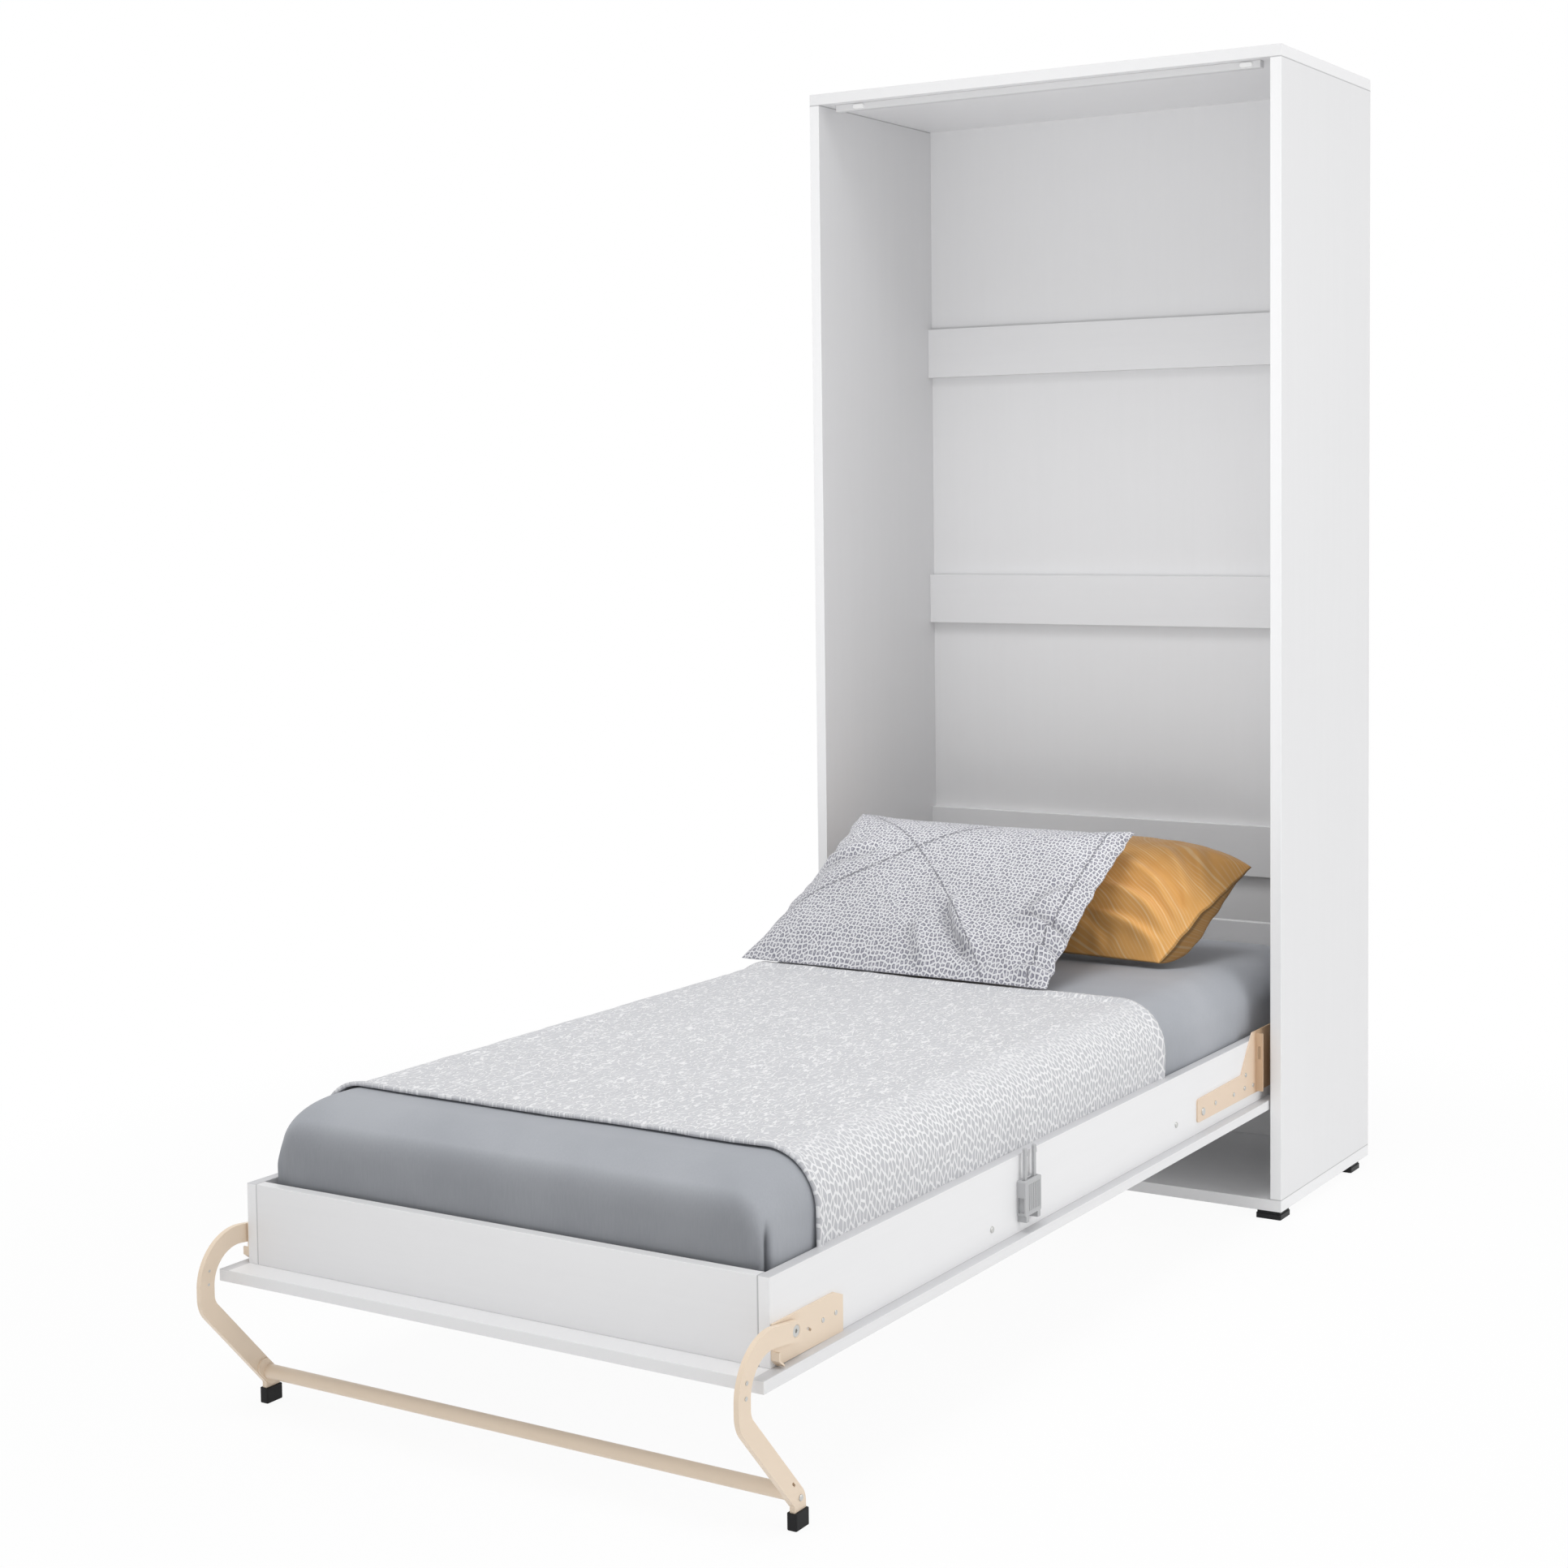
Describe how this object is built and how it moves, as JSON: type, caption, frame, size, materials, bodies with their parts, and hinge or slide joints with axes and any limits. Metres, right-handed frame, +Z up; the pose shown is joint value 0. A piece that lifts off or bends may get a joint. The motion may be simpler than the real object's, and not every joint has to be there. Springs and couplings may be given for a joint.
{
  "type": "wall bed",
  "caption": "Single wall bed shown open: white upright cabinet with a bed box that folds down on side pivots, foot leg frame, mattress, coverlet and pillows.",
  "frame": {"origin": "on the floor under the middle of the opened bed's bounding box", "axes": "+Z up, +Y from the foot of the bed towards the wall, +X to the right seen from the foot"},
  "size_m": [1.03, 2.259, 2.205],
  "materials": {
    "white_board": "white melamine-faced chipboard, faint fine grain, satin",
    "white_back": "white foil-faced hardboard",
    "white_plastic": "white bumper plastic",
    "black_plastic": "black moulded plastic",
    "black_rubber": "black rubber, matte",
    "zinc_plated": "zinc-plated steel",
    "cream_coat": "cream satin powder coat",
    "nylon": "natural nylon",
    "grey_plastic": "mid-grey moulded plastic",
    "birch_slats": "birch plywood, bare",
    "spring_black": "black paint",
    "spring_chrome": "hard chrome",
    "mattress_jersey": "slate-blue jersey fitted sheet",
    "coverlet_weave": "pale grey coverlet with a fine white woven maze",
    "pillow_net": "cool grey cotton with a white cell net",
    "pillow_ochre_cloth": "ochre cotton with fine pale wavy lines"
  },
  "bodies": {
    "cabinet": {"side_panel_left": "white_board", "side_panel_right": "white_board", "top_panel": "white_board", "bottom_panel": "white_board", "back_panel": "white_back", "back_rail_upper": "white_board", "back_rail_middle": "white_board", "back_rail_lower": "white_board", "back_rail_bottom": "white_board", "top_stop_batten": "white_board", "door_bumpers": "white_plastic", "cabinet_feet": "black_plastic", "pivot_plate_left": "zinc_plated", "pivot_plate_right": "zinc_plated", "pivot_plate_screws": "zinc_plated", "pivot_pin_left": "zinc_plated", "pivot_pin_right": "zinc_plated", "gas_spring_upper_stud_left": "zinc_plated", "gas_spring_upper_stud_right": "zinc_plated", "bottom_panel_screws": "zinc_plated"},
    "bed_box": {"side_rail_left": "white_board", "side_rail_right": "white_board", "foot_board": "white_board", "head_board": "white_board", "door_panel": "white_board", "bed_slats": "birch_slats", "slat_bearer_left": "birch_slats", "slat_bearer_right": "birch_slats", "pivot_bush_left": "nylon", "pivot_bush_right": "nylon", "hinge_bracket_left": "cream_coat", "hinge_bracket_right": "cream_coat", "hinge_bracket_screws": "zinc_plated", "rail_screws": "zinc_plated", "leg_bracket_left": "cream_coat", "leg_bracket_right": "cream_coat", "leg_bracket_rivets": "zinc_plated", "leg_pivot_bolt_left": "zinc_plated", "leg_pivot_bolt_right": "zinc_plated", "leg_washers": "nylon", "strap_buckle_body_left": "grey_plastic", "strap_buckle_body_right": "grey_plastic", "strap_buckle_plug_left": "grey_plastic", "strap_buckle_plug_right": "grey_plastic", "mattress": "mattress_jersey", "coverlet": "coverlet_weave", "pillow_patterned": "pillow_net", "pillow_ochre": "pillow_ochre_cloth"},
    "leg_frame": {"leg_left": "cream_coat", "leg_right": "cream_coat", "leg_crossbar": "cream_coat", "leg_cap_left": "black_rubber", "leg_cap_right": "black_rubber", "leg_bolts": "zinc_plated"},
    "spring_tube_left": {"gas_spring_cylinder_left": "spring_black"},
    "spring_rod_left": {"gas_spring_rod_left": "spring_chrome", "gas_spring_lower_stud_left": "zinc_plated"},
    "spring_tube_right": {"gas_spring_cylinder_right": "spring_black"},
    "spring_rod_right": {"gas_spring_rod_right": "spring_chrome", "gas_spring_lower_stud_right": "zinc_plated"}
  },
  "joints": [
    {"name": "bed_fold", "type": "hinge", "parent": "cabinet", "child": "bed_box", "pos_m": [0, 0.7695, 0.329], "axis": [-1, 0, 0], "range_deg": [0, 90], "deforming": ["pillow_patterned", "pillow_ochre"]},
    {"name": "leg_fold", "type": "hinge", "parent": "bed_box", "child": "leg_frame", "pos_m": [0, -0.9905, 0.269], "axis": [-1, 0, 0], "range_deg": [0, 186]},
    {"name": "spring_swing_left", "type": "hinge", "parent": "cabinet", "child": "spring_tube_left", "pos_m": [-0.484, 0.8595, 0.588], "axis": [-1, 0, 0], "range_deg": [0, 14.48]},
    {"name": "spring_slide_left", "type": "slide", "parent": "spring_tube_left", "child": "spring_rod_left", "axis": [0, 0, -1], "range_m": [0, 0.10162]},
    {"name": "spring_swing_right", "type": "hinge", "parent": "cabinet", "child": "spring_tube_right", "pos_m": [0.484, 0.8595, 0.588], "axis": [-1, 0, 0], "range_deg": [0, 14.48]},
    {"name": "spring_slide_right", "type": "slide", "parent": "spring_tube_right", "child": "spring_rod_right", "axis": [0, 0, -1], "range_m": [0, 0.10162]}
  ],
  "couplings": [
    {"joint": "leg_fold", "follows": "bed_fold", "ratio": 2.0667},
    {"joint": "spring_swing_left", "follows": "bed_fold", "ratio": 0.16067},
    {"joint": "spring_slide_left", "follows": "bed_fold", "m_per_rad": 0.064565},
    {"joint": "spring_swing_right", "follows": "bed_fold", "ratio": 0.16067},
    {"joint": "spring_slide_right", "follows": "bed_fold", "m_per_rad": 0.064565}
  ]
}
